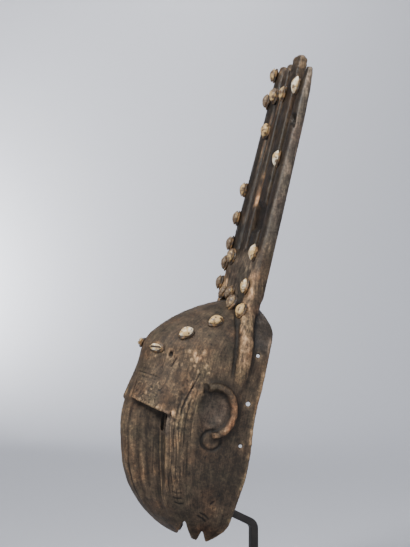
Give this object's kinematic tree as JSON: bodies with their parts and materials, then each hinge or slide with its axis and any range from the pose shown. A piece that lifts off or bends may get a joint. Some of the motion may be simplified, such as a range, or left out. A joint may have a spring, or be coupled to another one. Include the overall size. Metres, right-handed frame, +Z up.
{
  "type": "carved wooden face mask on a stand",
  "caption": "Carved wooden face mask with a tall comb crest, C-shaped ears and set cowrie shells, held up by a bent square steel rod on a flat foot.",
  "frame": {"origin": "middle of the stand foot's underside", "axes": "+Z up, the face looks along -Y, the mask's own left is +X"},
  "size_m": [0.1552, 0.257, 0.7103],
  "materials": {
    "wood": "dark, weathered, with worn and bare patches",
    "shell": "semi-gloss shell with brown wax in its slit",
    "steel": "satin black"
  },
  "bodies": {
    "root": {"mask": "wood", "forehead_cowrie_left_1": "shell", "forehead_cowrie_left_2": "shell", "forehead_cowrie_left_3": "shell", "forehead_cowrie_right_1": "shell", "forehead_cowrie_right_2": "shell", "forehead_cowrie_right_3": "shell", "comb_cowrie_1": "shell", "comb_cowrie_2": "shell", "comb_cowrie_3": "shell", "comb_cowrie_4": "shell", "comb_cowrie_5": "shell", "comb_cowrie_6": "shell", "comb_cowrie_7": "shell", "comb_cowrie_8": "shell", "comb_cowrie_9": "shell", "comb_cowrie_10": "shell", "comb_cowrie_11": "shell", "comb_cowrie_12": "shell", "comb_cowrie_13": "shell", "comb_cowrie_14": "shell", "comb_cowrie_15": "shell", "base_cowrie_1": "shell", "base_cowrie_2": "shell", "base_cowrie_3": "shell", "base_cowrie_4": "shell", "stand_rod": "steel", "stand_foot": "steel"}
  },
  "joints": []
}
